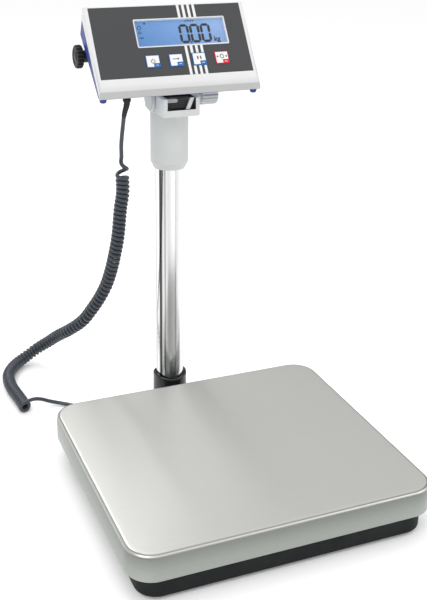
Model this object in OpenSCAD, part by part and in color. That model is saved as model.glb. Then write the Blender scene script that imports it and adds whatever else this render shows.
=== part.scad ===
// Bench scale with a weighing plate, a rear column and a tilting display head.
// Z is up, -Y is the front, and the origin is on the bench under the middle of the whole object.

/* [Platform] */
// Width of the weighing plate
plate_w = 330; // [310:5:360]
// Depth of the weighing plate
plate_d = 305; // [290:5:340]
// Height of the weighing surface above the bench
plate_top = 55; // [53:1:60]
// Height of the plate's folded skirt
skirt_h = 29; // [24:1:30]
// Corner radius of the plate, seen from above
plate_corner = 28; // [18:1:36]
// Thickness of the plate's sheet
sheet_t = 1.5; // [1:0.1:2]
// Height of the base housing's floor above the bench
base_clearance = 9; // [8.7:0.1:9.5]

/* [Column] */
// Outer diameter of the column tube
column_d = 34; // [32:1:35]
// Distance from the plate's centre back to the column's axis
column_setback = 204; // [198:1:210]
// Outer diameter of the holder's sleeve
holder_d = 45; // [44:1:47]

/* [Display head] */
// Width of the display head
head_w = 192; // [190:1:200]
// Lean of the display face back from upright
head_tilt = 34; // [30:1:36]
// Width of the front overlay
overlay_w = 182; // [176:1:184]
// Height of the front overlay
overlay_h = 86; // [84:1:87]
// Diameter of the clamp knobs beside the head
knob_d = 26.6; // [22:0.2:27]
// Travel of a key
key_travel = 0.5; // [0.3:0.1:0.5]

/* [Cord] */
// Diameter of the straight lead
lead_d = 4.8; // [4:0.1:5]
// Outer diameter of the curly stretch
coil_d = 16.5; // [15:0.5:17]

/* [Hidden] */
$fn = 64;

// Running clearance on the radius of a shaft in its hole
fit = 0.05;

// Platform, front to back and bottom to top
plate_y = -44;
base_inset = 5;
base_inset_side = 9;
base_w = plate_w - 2 * base_inset_side;
base_d = plate_d - 2 * base_inset;
base_wall = 3;
base_rim_low = 3.5;
base_h = 29;
floor_top = base_clearance + base_wall;
base_plate_t = 4;
deck = floor_top + base_plate_t;
spacer_t = 2;
cell_h = 20;
cell_bottom = deck + spacer_t;
cell_top = cell_bottom + cell_h;
carrier_bottom = cell_top + spacer_t;
carrier_t = 6;
carrier_top = carrier_bottom + carrier_t;
pan_underside = plate_top - sheet_t;
buffer_x = 105;
buffer_y = 100;
stop_y = 60;
foot_x = 125;
foot_y = 118;
stud_r = 4;
foot_gap = 0.3;

// Column and holder
column_y = plate_y + column_setback;
column_r = column_d / 2;
column_bottom = 20;
column_top = 388;
groove_w = 5.6;
groove_depth = 2.4;
foot_rim = 43.5;
tongue_front = 95;
tongue_screws = [103, 116];
holder_r = holder_d / 2;
holder_low = 315;
holder_chamfer = 8;
holder_high = 384;
box_half = 22;
box_front = -42;
box_rear = 24;
box_top = 405.5;
box_wall = 5;
window_low = 392;
neck_z = 399;
neck_pin_r = 4;
boss_r = 13.5;
bead_r = 16;
boss_x = 26.5;
boss_top = 411;
neck_grip_in = 37;
neck_grip_out = 57.5;
neck_grip_r = 12.2;

// Pivot of the head; the head's own frame starts at the middle of the overlay, Y runs back
pivot_y = 183.2;
pivot_z = 447.2;
pivot_depth = 38;
pivot_up = 3;
bolt_r = 3;
lug_in = 68;
lug_out = 75;
arm_in = 75.5;
arm_out = 78;
knob_in = head_w / 2 + 0.5;
knob_out = knob_in + 8;
yoke_z = 412;
yoke_front = 165;
yoke_rear = 191;
yoke_t = 2.5;
yoke_screw_y = 172;

// Side outlines of the head as [depth, height] points in its own frame
front_outline = [[0, 45.3], [13, 37.36], [3, -65], [0, -57.6]];
rear_outline = [[13, 37.36], [18.5, 34], [29, 27.5], [31.5, 24], [31.5, 21], [11, -59.5], [3, -65]];
cavity_outline = [[3, 41], [17, 32], [27.5, 25.5], [28.7, 21.5], [9, -57], [3, -59.5]];
rear_lean = atan((31.5 - 11) / (21 + 59.5));
overlay_t = 0.8;
window_c = [13.4, 9.75];
window_size = [108, 32.5];
key_size = [16.6, 15.2];
key_z = -24.7;
key_pitch = 27.7;
key_proud = 0.7;
panel_back = 3;
screw_x = 88;
screw_spots = [[26, 26], [-48, 10.4]];
cover_w = 76;
cover_h = 48;
cover_low = 64;
cover_t = 2;
socket_x = 57;
socket_drop = 20;
gland_x = -62;
gland_spot = [14.2, -64];
gland_len = 12;

// Cord, as points down its middle from the head to the base
upper_route = [
    [-62, 126, 404.7], [-62.2, 126.1, 401], [-63.7, 126.8, 395], [-65, 128, 388], [-65.7, 129.5, 379],
    [-66.3, 131, 370], [-66.8, 132.6, 361], [-67, 134, 352], [-66.6, 135, 342.5],
    [-66, 136, 333], [-65.5, 136.6, 324], [-65, 137, 315]
];
coil_route = [
    [-65, 137, 315], [-65, 138, 296], [-67, 141, 277], [-68, 144, 257], [-69, 148, 237],
    [-71, 154, 216], [-73, 162, 195], [-76, 173, 172], [-81, 187, 149], [-87, 206, 125],
    [-94, 229, 100], [-103, 262, 75], [-107, 284, 61], [-112, 305, 47], [-118, 318, 36],
    [-126, 327, 27], [-135, 331, 20], [-144, 331, 14.5], [-153, 328, 11], [-162, 322, 9],
    [-172, 309, 8.5], [-180, 292, 8.5], [-183, 272, 8.5], [-183, 252, 8.5],
    [-181, 234, 8.5], [-179, 216, 8.5], [-178, 200, 8.5]
];
lower_route = [
    [-177, 203, 9.5], [-167, 203, 10.5], [-157, 206, 8.5], [-146, 207, 6], [-134, 203, 4],
    [-122, 195, 3], [-111, 183, 3], [-103, 169, 4], [-98, 154, 8], [-95.5, 140, 13],
    [-95, 129, 16.5], [-95, 120, 17.5], [-95, 114, 17.5]
];
base_gland = [-95, 114, 17.5];

// ---------- shared shapes ----------

// A plate with round vertical edges, standing on z = 0
module slab(w, d, h, r) {
    translate([-w / 2 + r, -d / 2, 0]) cube([w - 2 * r, d, h]);
    translate([-w / 2, -d / 2 + r, 0]) cube([w, d - 2 * r, h]);
    for (x = [-1, 1], y = [-1, 1])
        translate([x * (w / 2 - r), y * (d / 2 - r), 0]) cylinder(r = r, h = h);
}

// A cylinder along X between two x values
module rod_x(x0, x1, r) {
    translate([x0, 0, 0]) rotate([0, 90, 0]) cylinder(r = r, h = x1 - x0);
}

// A cylinder along Y between two y values
module rod_y(y0, y1, r) {
    translate([0, y0, 0]) rotate([-90, 0, 0]) cylinder(r = r, h = y1 - y0);
}

// A side outline of [y, z] points, drawn out along X to a width
module across(outline, w) {
    translate([-w / 2, 0, 0]) rotate([90, 0, 90]) linear_extrude(w) polygon(outline);
}

module both_sides() {
    children();
    mirror([1, 0, 0]) children();
}

module at_plate() {
    translate([0, plate_y, 0]) children();
}

module at_column() {
    translate([0, column_y, 0]) children();
}

module at_pivot() {
    translate([0, pivot_y, pivot_z]) children();
}

module at_head() {
    at_pivot() rotate([-head_tilt, 0, 0]) translate([0, -pivot_depth, -pivot_up]) children();
}

// The flat back of the head: origin at its upper edge, +Y outward, -Z down the face
module at_rear_face() {
    at_head() in_rear_face() children();
}

module in_rear_face() {
    translate([0, 31.5, 21]) rotate([-rear_lean, 0, 0]) children();
}

function unit(v) = v / norm(v);
function square_to(v, t) = unit(v - (v * t) * t);
function heading(p, i) = unit(p[min(i + 1, len(p) - 1)] - p[max(i - 1, 0)]);
function carried(p, u0) = [
    for (i = 0, u = square_to(u0, heading(p, 0));
        i < len(p);
        i = i + 1, u = square_to(u, heading(p, min(i, len(p) - 1)))) u
];

// A round tube swept along the points p, with one ring of n corners at each
module swept(p, r, n) {
    side = carried(p, [0, 1, 0]);
    last = len(p) - 1;
    corners = [
        for (i = [0:last], k = [0:n - 1])
            let (a = 360 * k / n, u = side[i], w = cross(heading(p, i), u))
                p[i] + r * (cos(a) * u + sin(a) * w)
    ];
    walls = [
        for (i = [0:last - 1], k = [0:n - 1])
            let (j = (k + 1) % n) [i * n + k, (i + 1) * n + k, (i + 1) * n + j, i * n + j]
    ];
    start_cap = [for (k = [0:n - 1]) k];
    end_cap = [for (k = [n - 1:-1:0]) last * n + k];
    polyhedron(corners, concat([start_cap, end_cap], walls), convexity = 6);
}

// ---------- platform ----------

module weighing_plate() {
    color("silver") at_plate() translate([0, 0, plate_top - skirt_h]) difference() {
        slab(plate_w, plate_d, skirt_h, plate_corner);
        translate([0, 0, -1]) slab(plate_w - 2 * sheet_t, plate_d - 2 * sheet_t,
            skirt_h - sheet_t + 1, plate_corner - sheet_t);
    }
}

module plate_buffers() {
    color("black") at_plate() for (x = [-1, 1], y = [-1, 1])
        translate([x * buffer_x, y * buffer_y, 0]) {
            translate([0, 0, carrier_top]) cylinder(d = 22, h = pan_underside - carrier_top);
            translate([0, 0, carrier_top - 5]) cylinder(r = 4, h = 5.5);
        }
}

module load_carrier() {
    color("gainsboro") at_plate() translate([0, 0, carrier_bottom]) difference() {
        union() {
            translate([-118, -22, 0]) cube([236, 44, carrier_t]);
            for (x = [-1, 1])
                translate([x * buffer_x - 13, -112, 0]) cube([26, 224, carrier_t]);
        }
        for (x = [-1, 1], y = [-1, 1])
            translate([x * buffer_x, y * buffer_y, -1]) cylinder(r = 4 + fit, h = carrier_t + 2);
        for (x = [40, 55]) {
            translate([x, 0, -1]) cylinder(r = 3 + fit, h = carrier_t + 2);
            translate([x, 0, 2]) cylinder(r = 5.5, h = carrier_t);
        }
    }
}

module load_cell() {
    color("lightsteelblue") at_plate() translate([0, 0, cell_bottom]) difference() {
        translate([-65, -15, 0]) cube([130, 30, cell_h]);
        for (x = [-12, 12]) translate([x, 0, cell_h / 2]) rod_y(-16, 16, 7);
        translate([-12, -16, cell_h / 2 - 2]) cube([24, 32, 4]);
        for (x = [-55, -40]) translate([x, 0, -1]) cylinder(r = 3 + fit, h = 13.5);
        for (x = [40, 55]) translate([x, 0, 7]) cylinder(r = 3 + fit, h = cell_h);
    }
}

// A spacer under or over one end of the load cell, with its two screw holes
module spacer(x0, z0) {
    at_plate() difference() {
        translate([x0, -15, z0]) cube([35, 30, spacer_t]);
        for (x = [10, 25]) translate([x0 + x, 0, z0 - 1]) cylinder(r = 3 + fit, h = spacer_t + 2);
    }
}

module upper_spacer() {
    color("darkgray") spacer(30, cell_top);
}

module lower_spacer() {
    color("darkgray") spacer(-65, deck);
}

module cell_screws() {
    color("dimgray") at_plate() {
        for (x = [40, 55]) translate([x, 0, 0]) {
            translate([0, 0, carrier_bottom + 2]) cylinder(r = 5, h = 4);
            translate([0, 0, cell_bottom + 9]) cylinder(r = 3, h = carrier_bottom - cell_bottom - 6.5);
        }
        for (x = [-55, -40]) translate([x, 0, 0]) {
            translate([0, 0, floor_top - 2.5]) cylinder(r = 5, h = 2.5);
            translate([0, 0, floor_top - 0.5]) cylinder(r = 3, h = 17);
        }
    }
}

module overload_stops() {
    color("dimgray") at_plate() for (x = [-1, 1], y = [-1, 1])
        translate([x * buffer_x, y * stop_y, deck]) {
            cylinder(r = 4, h = carrier_bottom - deck - 1);
            cylinder(d = 14, h = 5, $fn = 6);
        }
}

module base_plate() {
    color("slategray") at_plate() translate([0, 0, floor_top]) difference() {
        slab(230, 250, base_plate_t, 6);
        for (x = [-1, 1], y = [-1, 1])
            translate([x * 100, y * 90, -1]) cylinder(r = 2.6, h = base_plate_t + 2);
        for (x = [-55, -40]) translate([x, 0, -1]) cylinder(r = 3 + fit, h = base_plate_t + 2);
        for (x = [-18, 18], y = tongue_screws)
            translate([x, y, -1]) cylinder(r = 3 + fit, h = base_plate_t + 2);
    }
}

module base_screws() {
    color("dimgray") at_plate() for (x = [-1, 1], y = [-1, 1])
        translate([x * 100, y * 90, 0]) {
            translate([0, 0, deck]) cylinder(r = 4.5, h = 3);
            translate([0, 0, base_clearance + 0.5]) cylinder(r = 2.5, h = deck - base_clearance);
        }
}

module base_housing() {
    color([0.12, 0.12, 0.13]) at_plate() difference() {
        union() {
            difference() {
                translate([0, 0, base_clearance]) slab(base_w, base_d, base_h, plate_corner - base_inset);
                translate([0, 0, floor_top]) slab(base_w - 2 * base_wall, base_d - 2 * base_wall,
                    base_h, plate_corner - base_inset - base_wall);
            }
            for (x = [-1, 1], y = [-1, 1])
                translate([x * foot_x, y * foot_y, base_clearance]) cylinder(r = 9, h = 18);
            // Rim round the underside, which hides the feet
            difference() {
                translate([0, 0, base_rim_low])
                    slab(base_w, base_d, base_clearance + 1 - base_rim_low, plate_corner - base_inset);
                translate([0, 0, base_rim_low - 1]) slab(base_w - 2 * base_wall,
                    base_d - 2 * base_wall, 20, plate_corner - base_inset - base_wall);
            }
        }
        for (x = [-1, 1], y = [-1, 1]) {
            translate([x * foot_x, y * foot_y, 0]) cylinder(r = stud_r + fit, h = 40);
            translate([x * 100, y * 90, 0]) cylinder(r = 2.6, h = 20);
        }
        for (x = [-55, -40]) translate([x, 0, 0]) cylinder(r = 6, h = 20);
        translate([-29.5, base_d / 2 - 6, deck - 0.5]) cube([59, 12, 11]);
        translate([base_gland[0], base_d / 2 - 5, base_gland[2]]) rod_y(0, 8, 4 + fit);
    }
}

// A levelling foot: rubber pad, adjusting disc and threaded stud
module levelling_foot(x, y) {
    color("black") at_plate() translate([x * foot_x, y * foot_y, 0]) {
        cylinder(d1 = 26, d2 = 28, h = 5);
        translate([0, 0, 5]) cylinder(d = 30, h = base_clearance - foot_gap - 5);
        cylinder(r = stud_r, h = 26);
    }
}

module foot_front_left() {
    levelling_foot(-1, -1);
}

module foot_front_right() {
    levelling_foot(1, -1);
}

module foot_rear_left() {
    levelling_foot(-1, 1);
}

module foot_rear_right() {
    levelling_foot(1, 1);
}

module base_cable_gland() {
    wall_y = plate_y + base_d / 2;
    color([0.1, 0.1, 0.1]) translate([base_gland[0], 0, base_gland[2]]) {
        rod_y(wall_y - 5, wall_y + 1, 4);
        rod_y(wall_y, wall_y + 3, 6);
        rod_y(wall_y + 2, base_gland[1], 3.8);
    }
}

// ---------- column ----------

module column_foot() {
    tongue_y = plate_y + tongue_front;
    color([0.08, 0.08, 0.09]) difference() {
        union() {
            at_column() translate([0, 0, deck]) cylinder(r = column_r + 4, h = 33);
            translate([-28, tongue_y, deck]) cube([56, column_y - tongue_y, 8]);
        }
        at_column() {
            translate([0, 0, column_bottom]) cylinder(r = column_r + fit, h = 40);
            translate([0, 0, foot_rim + 60]) rod_y(-40, 40, 60);
            translate([0, 0, 32]) rod_y(10, 30, 3 + fit);
        }
        for (x = [-18, 18], y = tongue_screws)
            translate([x, plate_y + y, 0]) cylinder(r = 3 + fit, h = 60);
    }
}

module column_foot_screws() {
    color("dimgray") at_plate() for (x = [-18, 18], y = tongue_screws)
        translate([x, y, 0]) {
            translate([0, 0, deck + 8]) cylinder(r = 5, h = 3);
            translate([0, 0, floor_top + 0.3]) cylinder(r = 3, h = base_plate_t + 8);
        }
}

// Bright tube with one groove down its front
module column_tube() {
    color("gainsboro") at_column() translate([0, 0, column_bottom])
        linear_extrude(column_top - column_bottom) difference() {
            union() {
                difference() {
                    circle(r = column_r);
                    circle(r = column_r - 1.8);
                }
                intersection() {
                    circle(r = column_r - 1);
                    translate([-groove_w / 2 - 1.6, -column_r]) square([groove_w + 3.2, 5]);
                }
            }
            translate([-groove_w / 2, -column_r - 1]) square([groove_w, groove_depth + 1]);
        }
}

module column_clamp_screw() {
    color("dimgray") at_column() translate([0, 0, 32]) {
        rod_y(column_r + 0.05, column_r + 6, 3);
        rod_y(column_r + 4.5, column_r + 9, 5);
    }
}

module column_holder() {
    color([0.82, 0.83, 0.83]) at_column() difference() {
        union() {
            translate([0, 0, holder_low])
                cylinder(r1 = holder_r - 4, r2 = holder_r, h = holder_chamfer);
            translate([0, 0, holder_low + holder_chamfer])
                cylinder(r = holder_r, h = holder_high - holder_low - holder_chamfer + 1);
            translate([-box_half, box_front, holder_high])
                cube([2 * box_half, box_rear - box_front, box_top - holder_high]);
            translate([0, 0, neck_z]) {
                rod_x(-boss_x, boss_x, boss_r);
                rod_x(-box_half - 2, box_half + 2, bead_r);
            }
        }
        translate([-40, -40, boss_top]) cube([80, 80, 20]);
        translate([0, 0, holder_low - 1]) cylinder(r = column_r + fit, h = column_top - holder_low + 1);
        translate([box_wall - box_half, box_front + 4.5, window_low])
            cube([2 * (box_half - box_wall), box_rear - box_front - 9, 30]);
        translate([box_wall - box_half, box_front - 1, window_low])
            cube([2 * (box_half - box_wall), 10, 30]);
        translate([0, 0, neck_z]) rod_x(-23.5, 40, neck_pin_r + fit);
    }
}

// Dark ribbed block held between the holder's cheeks
module neck_knuckle() {
    half = box_half - box_wall - 0.3;
    color([0.1, 0.1, 0.1]) at_column() difference() {
        union() {
            translate([-half, -36, window_low + 0.2]) cube([2 * half, 54, 10.5]);
            translate([-half, -8, window_low]) cube([2 * half, 26, yoke_z - window_low]);
            for (i = [0:3]) translate([-half, -37.2, window_low + 0.8 + 2.6 * i])
                cube([2 * half, 2, 1.3]);
        }
        translate([0, 0, neck_z]) rod_x(-40, 40, neck_pin_r + fit);
        for (x = [-9, 9]) translate([x, yoke_screw_y - column_y, 0])
            cylinder(r = 2 + fit, h = 500);
    }
}

module neck_pin() {
    color("silver") at_column() translate([0, 0, neck_z]) rod_x(-23.4, 46, neck_pin_r);
}

// Grey ribbed knob that draws the neck pin tight
module neck_clamp_knob() {
    color([0.7, 0.71, 0.72]) at_column() translate([0, 0, neck_z]) difference() {
        union() {
            rod_x(boss_x + 0.3, neck_grip_in + 1, 8);
            rod_x(neck_grip_in, neck_grip_out, neck_grip_r - 0.8);
            for (a = [0:24:336]) rotate([a, 0, 0]) translate([0, neck_grip_r - 1.5, 0])
                rod_x(neck_grip_in + 0.6, neck_grip_out - 0.8, 1.5);
        }
        rod_x(boss_x - 1, 47, neck_pin_r + fit);
    }
}

// Grey steel stop at the top of the holder's window
module neck_stop() {
    color([0.6, 0.61, 0.62]) at_column() {
        translate([-16.6, -40.4, 400.6]) cube([12, 3, 4.6]);
        translate([-4.6, -37.4, 402.9]) rod_y(-3, 0, 2.3);
    }
}

// Light grey pawl that leans across the holder's window
module neck_pawl() {
    color([0.75, 0.76, 0.77]) at_column() translate([0, -37.4, 0]) rotate([90, 0, 0])
        linear_extrude(2.6) polygon([[6, 392.1], [10.4, 392.1], [15.8, 405.2], [11.4, 405.2]]);
}

// Bent steel bracket whose two arms carry the head
module yoke() {
    color([0.6, 0.61, 0.62]) difference() {
        union() {
            translate([-arm_out, yoke_front, yoke_z])
                cube([2 * arm_out, yoke_rear - yoke_front, yoke_t]);
            both_sides() {
                translate([arm_in, 0, 0]) rotate([90, 0, 90]) linear_extrude(arm_out - arm_in)
                    polygon([[yoke_front, yoke_z], [yoke_rear, yoke_z], [yoke_rear, yoke_z + 20],
                        [pivot_y + 7.9, pivot_z], [pivot_y - 7.9, pivot_z],
                        [yoke_front, yoke_z + 14]]);
                at_pivot() rod_x(arm_in, arm_out, 8);
            }
        }
        at_pivot() rod_x(-100, 100, bolt_r + fit);
        for (x = [-9, 9]) translate([x, yoke_screw_y, yoke_z - 1]) cylinder(r = 2 + fit, h = 5);
    }
}

module yoke_screws() {
    color("dimgray") for (x = [-9, 9]) translate([x, yoke_screw_y, 0]) {
        translate([0, 0, yoke_z + yoke_t]) cylinder(r = 3.8, h = 2.4);
        translate([0, 0, yoke_z - 6]) cylinder(r = 2, h = yoke_t + 6.5);
    }
}

module pivot_bolts() {
    color("silver") at_pivot() both_sides() {
        rod_x(lug_in - 4, knob_in, bolt_r);
        rod_x(lug_in - 4, lug_in - 0.2, 5);
    }
}

module friction_washers() {
    color("dimgray") at_pivot() both_sides() difference() {
        rod_x(lug_out + 0.1, arm_in, 7.5);
        rod_x(lug_out - 1, arm_in + 1, bolt_r + fit);
    }
}

// A clamp knob on the pivot bolt, with rounded ribs round its rim
module clamp_knob() {
    rib_r = 1.3;
    color([0.05, 0.05, 0.05]) difference() {
        union() {
            rod_x(arm_out + 0.2, knob_in + 1, 7);
            translate([knob_in, 0, 0]) rotate([0, 90, 0]) linear_extrude(knob_out - knob_in) {
                circle(r = knob_d / 2 - 0.7);
                for (a = [10:20:350]) rotate(a) translate([knob_d / 2 - rib_r, 0]) circle(r = rib_r);
            }
        }
        rod_x(arm_out - 1, knob_in + 4, bolt_r + fit);
    }
}

module knob_left() {
    at_pivot() mirror([1, 0, 0]) clamp_knob();
}

module knob_right() {
    at_pivot() clamp_knob();
}

// ---------- display head ----------

// The holes that go right through the head's front panel
module panel_holes() {
    translate([window_c[0] - window_size[0] / 2, -1, window_c[1] - window_size[1] / 2])
        cube([window_size[0], 6, window_size[1]]);
    for (i = [-1:2])
        translate([i * key_pitch - key_size[0] / 2 - 0.3, -1, key_z - key_size[1] / 2 - 0.3])
            cube([key_size[0] + 0.6, 6, key_size[1] + 0.6]);
}

module front_shell() {
    color([0.9, 0.9, 0.9]) at_head() {
        difference() {
            across(front_outline, head_w);
            across(cavity_outline, head_w - 5);
            translate([-overlay_w / 2 - 0.1, -1, -overlay_h / 2 - 0.1])
                cube([overlay_w + 0.2, 1 + overlay_t, overlay_h + 0.2]);
            panel_holes();
        }
        for (x = [-1, 1], s = screw_spots) translate([x * screw_x, 0, s[0]]) difference() {
            rod_y(panel_back - 0.2, s[1] - 3, 3.2);
            rod_y(panel_back + 0.8, s[1], 1.5 + fit);
        }
    }
}

module rear_shell() {
    color([0.15, 0.24, 0.47]) at_head() difference() {
        union() {
            difference() {
                across(rear_outline, head_w);
                both_sides() in_rear_face() translate([head_w / 2 - 4, 0, -100])
                    rotate([0, 0, -45]) cube([10, 10, 120]);
            }
            both_sides() translate([90, 9, -60.5]) rotate([head_tilt, 0, 0])
                translate([0, 0, -5.5]) cylinder(r = 4, h = 7);
        }
        across(cavity_outline, head_w - 5);
        in_rear_face() {
            translate([-cover_w / 2 - 0.25, -cover_t, -cover_low - 0.25])
                cube([cover_w + 0.5, 10, cover_h + 0.5]);
            translate([-cover_w / 2 + 4, -8, -cover_low + 4]) cube([cover_w - 8, 10, cover_h - 8]);
            translate([socket_x, 0, -socket_drop]) rod_y(-10, 5, 4.55);
        }
        for (x = [-1, 1], s = screw_spots) translate([x * screw_x, 0, s[0]]) {
            rod_y(s[1] - 4, s[1] + 1, 1.6);
            rod_y(s[1], s[1] + 12, 3.2);
        }
        gland_hole();
    }
}

// Ears on the back of the head, which the pivot bolts pass through
module pivot_lugs() {
    color([0.15, 0.24, 0.47]) at_head() both_sides() difference() {
        union() {
            translate([0, pivot_depth, pivot_up]) rod_x(lug_in, lug_out, 8);
            translate([lug_in, 22, pivot_up - 8]) cube([lug_out - lug_in, 16, 16]);
        }
        across(rear_outline, head_w);
        translate([0, pivot_depth, pivot_up]) rod_x(lug_in - 1, lug_out + 1, bolt_r + fit);
    }
}

// The hole that the head's cable gland sits in, which points straight down
module gland_hole() {
    translate([gland_x, gland_spot[0], gland_spot[1]]) rotate([head_tilt, 0, 0])
        cylinder(r = 3.5 + fit, h = gland_len + 1);
}

module head_cable_gland() {
    color([0.12, 0.13, 0.15]) at_head() translate([gland_x, gland_spot[0], gland_spot[1]])
        rotate([head_tilt, 0, 0]) {
            cylinder(r = 3.5, h = gland_len);
            cylinder(r = 4.6, h = 3);
        }
}

module shell_screws() {
    color("dimgray") at_head() for (x = [-1, 1], s = screw_spots)
        translate([x * screw_x, 0, s[0]]) {
            rod_y(s[1], s[1] + 1.8, 3);
            rod_y(panel_back + 1, s[1] + 0.5, 1.5);
        }
}

module front_overlay() {
    color([0.35, 0.35, 0.36]) at_head() difference() {
        translate([-overlay_w / 2, 0, -overlay_h / 2]) cube([overlay_w, overlay_t, overlay_h]);
        panel_holes();
    }
}

module window_lens() {
    color("lightblue") at_head()
        translate([window_c[0] - window_size[0] / 2 + 0.1, 0.1, window_c[1] - window_size[1] / 2 + 0.1])
            cube([window_size[0] - 0.2, panel_back - 0.1, window_size[1] - 0.2]);
}

// A flat layer behind the display window
module window_layer(y0, t) {
    at_head() translate([window_c[0] - 59, y0, window_c[1] - 18.5]) cube([118, t, 37]);
}

module lcd_panel() {
    color("lightskyblue") window_layer(panel_back, 1.8);
}

module backlight() {
    color("white") window_layer(panel_back + 1.8, 3.2);
}

module main_board() {
    color("darkgreen") at_head() translate([-80, 9.4, -40]) cube([148, 1.6, 70]);
}

module key_mat() {
    color("gray") at_head()
        translate([-key_pitch - 12, 3.1 + key_travel, key_z - 10]) cube([3 * key_pitch + 24, 1.4, 20]);
}

// A key cap, counted from the left
module key_cap(i, tint) {
    color(tint) at_head() translate([(i - 1) * key_pitch - key_size[0] / 2, -key_proud,
        key_z - key_size[1] / 2]) cube([key_size[0], key_proud + 3.1, key_size[1]]);
}

module key_power() {
    key_cap(0, "royalblue");
}

module key_units() {
    key_cap(1, "royalblue");
}

module key_hold() {
    key_cap(2, "royalblue");
}

module key_zero() {
    key_cap(3, "crimson");
}

module battery_pack() {
    color("dimgray") at_head() translate([-30, 11.3, -24]) cube([60, 6.2, 25]);
}

module battery_cover() {
    color([0.15, 0.24, 0.47]) at_rear_face()
        translate([-cover_w / 2, -cover_t, -cover_low]) cube([cover_w, cover_t, cover_h]);
}

// Round socket for a mains adapter's plug, open to the back
module power_socket() {
    color([0.08, 0.08, 0.08]) at_rear_face() translate([socket_x, 0, -socket_drop]) difference() {
        union() {
            rod_y(-10, 0.5, 4.5);
            rod_y(0, 1, 6);
        }
        rod_y(-8.5, 3, 2.9);
    }
}

// ---------- cord ----------

module cord_upper_lead() {
    color([0.2, 0.22, 0.25]) swept(upper_route, lead_d / 2, 10);
}

module cord_coil() {
    color([0.2, 0.22, 0.25]) swept(coil_route, coil_d / 2, 12);
}

module cord_lower_lead() {
    color([0.2, 0.22, 0.25]) swept(lower_route, lead_d / 2, 10);
}

weighing_plate();
plate_buffers();
load_carrier();
load_cell();
upper_spacer();
lower_spacer();
cell_screws();
overload_stops();
base_plate();
base_screws();
base_housing();
foot_front_left();
foot_front_right();
foot_rear_left();
foot_rear_right();
base_cable_gland();
column_foot();
column_foot_screws();
column_tube();
column_clamp_screw();
column_holder();
neck_knuckle();
neck_pin();
neck_clamp_knob();
neck_stop();
neck_pawl();
yoke();
yoke_screws();
pivot_bolts();
friction_washers();
knob_left();
knob_right();
front_shell();
rear_shell();
pivot_lugs();
shell_screws();
front_overlay();
window_lens();
lcd_panel();
backlight();
main_board();
key_mat();
key_power();
key_units();
key_hold();
key_zero();
battery_pack();
battery_cover();
power_socket();
head_cable_gland();
cord_upper_lead();
cord_coil();
cord_lower_lead();
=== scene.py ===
import math

import bmesh
import bpy
from mathutils import Matrix, Vector

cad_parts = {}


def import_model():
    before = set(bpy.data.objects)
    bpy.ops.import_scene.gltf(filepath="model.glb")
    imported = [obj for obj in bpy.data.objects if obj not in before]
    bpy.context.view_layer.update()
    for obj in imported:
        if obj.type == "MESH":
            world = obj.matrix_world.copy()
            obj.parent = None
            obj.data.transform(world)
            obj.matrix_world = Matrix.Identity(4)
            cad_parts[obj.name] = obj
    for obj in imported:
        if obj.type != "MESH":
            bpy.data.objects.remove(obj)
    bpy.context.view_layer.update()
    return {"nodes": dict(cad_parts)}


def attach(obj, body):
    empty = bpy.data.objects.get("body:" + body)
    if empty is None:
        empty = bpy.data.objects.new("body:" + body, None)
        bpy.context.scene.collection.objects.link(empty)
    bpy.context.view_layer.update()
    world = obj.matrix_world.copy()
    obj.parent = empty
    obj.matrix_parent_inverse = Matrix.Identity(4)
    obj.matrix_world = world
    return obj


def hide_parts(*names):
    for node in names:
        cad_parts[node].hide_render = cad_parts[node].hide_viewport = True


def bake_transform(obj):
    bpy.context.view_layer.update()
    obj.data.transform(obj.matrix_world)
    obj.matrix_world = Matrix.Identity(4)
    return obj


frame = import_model()
NODES = frame["nodes"]
MM = 0.001


def mm(*values):
    """A point given in millimetres."""
    return Vector([c * MM for c in values])


def linked(name, data):
    """A new object in the scene."""
    obj = bpy.data.objects.new(name, data)
    bpy.context.scene.collection.objects.link(obj)
    return obj


# ---------- camera ----------

CAM_AT = mm(-396.77, -939.205, 649.372)
CAM_AZ, CAM_EL, CAM_ROLL = (math.radians(a) for a in (-22.45, 18.725, 0.71))
CAM_LENS, CAM_SHIFT_Y = 61.4, -0.14


def make_camera():
    flat = math.cos(CAM_EL)
    back = Vector((math.sin(CAM_AZ) * flat, -math.cos(CAM_AZ) * flat, math.sin(CAM_EL)))
    right = Vector((math.cos(CAM_AZ), math.sin(CAM_AZ), 0))
    up = back.cross(right)
    c, s = math.cos(CAM_ROLL), math.sin(CAM_ROLL)
    right, up = right * c + up * s, up * c - right * s
    data = bpy.data.cameras.new("camera")
    data.sensor_width, data.lens, data.shift_y = 36, CAM_LENS, CAM_SHIFT_Y
    data.clip_start, data.clip_end = 0.01, 100
    cam = linked("camera", data)
    turn = Matrix((right, up, back)).transposed().to_4x4()
    cam.matrix_world = Matrix.Translation(CAM_AT) @ turn
    bpy.context.scene.camera = cam


make_camera()


# ---------- materials ----------


def put(node, **values):
    """Sets a node's inputs by their names, with _ for a space."""
    for name, value in values.items():
        node.inputs[name.replace("_", " ")].default_value = value
    return node


def shader(m):
    return m.node_tree.nodes["Principled BSDF"]


def material(name, color, rough=0.5, metal=0.0, **sockets):
    m = bpy.data.materials.new(name)
    m.use_nodes = True
    put(shader(m), Base_Color=(*color, 1), Roughness=rough, Metallic=metal, **sockets)
    return m


def noise(m, scale, stretch=(1, 1, 1), detail=3.0, rough=0.5):
    """A noise value from 0 to 1 in the object's own metres."""
    t = m.node_tree
    where = t.nodes.new("ShaderNodeTexCoord")
    mapping = put(t.nodes.new("ShaderNodeMapping"), Scale=stretch)
    tex = t.nodes.new("ShaderNodeTexNoise")
    put(tex, Scale=scale, Detail=detail, Roughness=rough)
    t.links.new(where.outputs["Object"], mapping.inputs["Vector"])
    t.links.new(mapping.outputs["Vector"], tex.inputs["Vector"])
    return tex.outputs["Fac"]


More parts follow.
